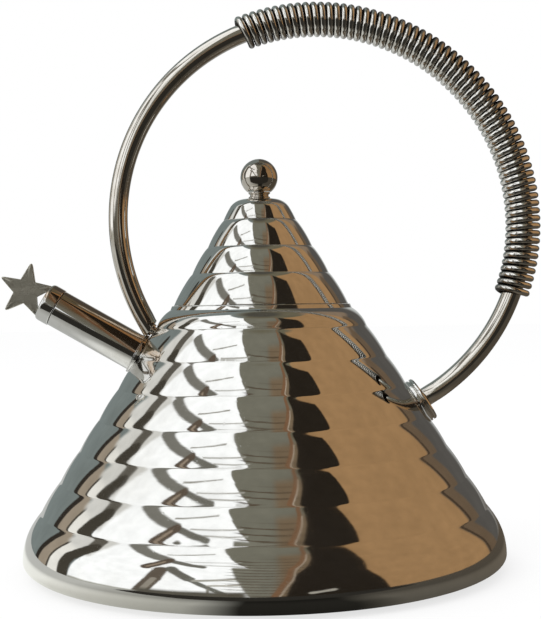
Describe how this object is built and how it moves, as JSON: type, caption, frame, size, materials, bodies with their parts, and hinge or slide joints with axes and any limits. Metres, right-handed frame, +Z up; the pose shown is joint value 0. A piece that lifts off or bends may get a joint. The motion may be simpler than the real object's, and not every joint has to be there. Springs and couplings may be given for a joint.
{
  "type": "whistling kettle",
  "caption": "Stovetop kettle in polished steel: banded cone body, lift-off cone lid with a ball knob, slanted spout with a pull-out star whistle, and a ring handle with a coil-spring grip.",
  "frame": {"origin": "centre of the flat base, on the stove's surface", "axes": "+Z up along the body's axis, the spout leans towards -X, the handle's ring lies in the XZ plane"},
  "size_m": [0.2495, 0.22, 0.2591],
  "materials": {
    "polished_steel": "mirror-polished stainless steel",
    "plain_steel": "plain stainless sheet, satin",
    "star_steel": "dull stamped stainless plate",
    "fastener_steel": "plain machined stainless steel",
    "spring_steel": "bright drawn spring wire",
    "disc_aluminium": "bare aluminium plate",
    "seal_silicone": "matt black silicone"
  },
  "bodies": {
    "kettle": {"body_shell": "polished_steel", "base_plate": "plain_steel", "heat_disc": "disc_aluminium", "disc_cap": "plain_steel", "mouth_ring": "plain_steel", "spout_tube": "polished_steel", "spout_flange": "polished_steel", "handle_rod": "polished_steel", "handle_flange": "polished_steel", "handle_seal_left": "seal_silicone", "handle_seal_right": "seal_silicone", "handle_washer_left": "plain_steel", "handle_washer_right": "plain_steel", "handle_nut_left": "fastener_steel", "handle_nut_right": "fastener_steel", "grip_spring": "spring_steel"},
    "lid": {"lid_shell": "polished_steel", "lid_collar": "plain_steel", "knob_neck": "polished_steel", "knob_ball": "polished_steel", "knob_washer": "plain_steel", "knob_screw": "fastener_steel"},
    "whistle": {"whistle_cap": "polished_steel", "whistle_star": "star_steel", "whistle_sleeve": "plain_steel", "whistle_rear_plate": "plain_steel", "whistle_front_plate": "plain_steel"}
  },
  "joints": [
    {"name": "lid_lift", "type": "slide", "parent": "kettle", "child": "lid", "axis": [0, 0, 1], "range_m": [0, 0.045]},
    {"name": "whistle_pull", "type": "slide", "parent": "kettle", "child": "whistle", "axis": [-0.8634, 0, 0.5045], "range_m": [0, 0.04]}
  ]
}
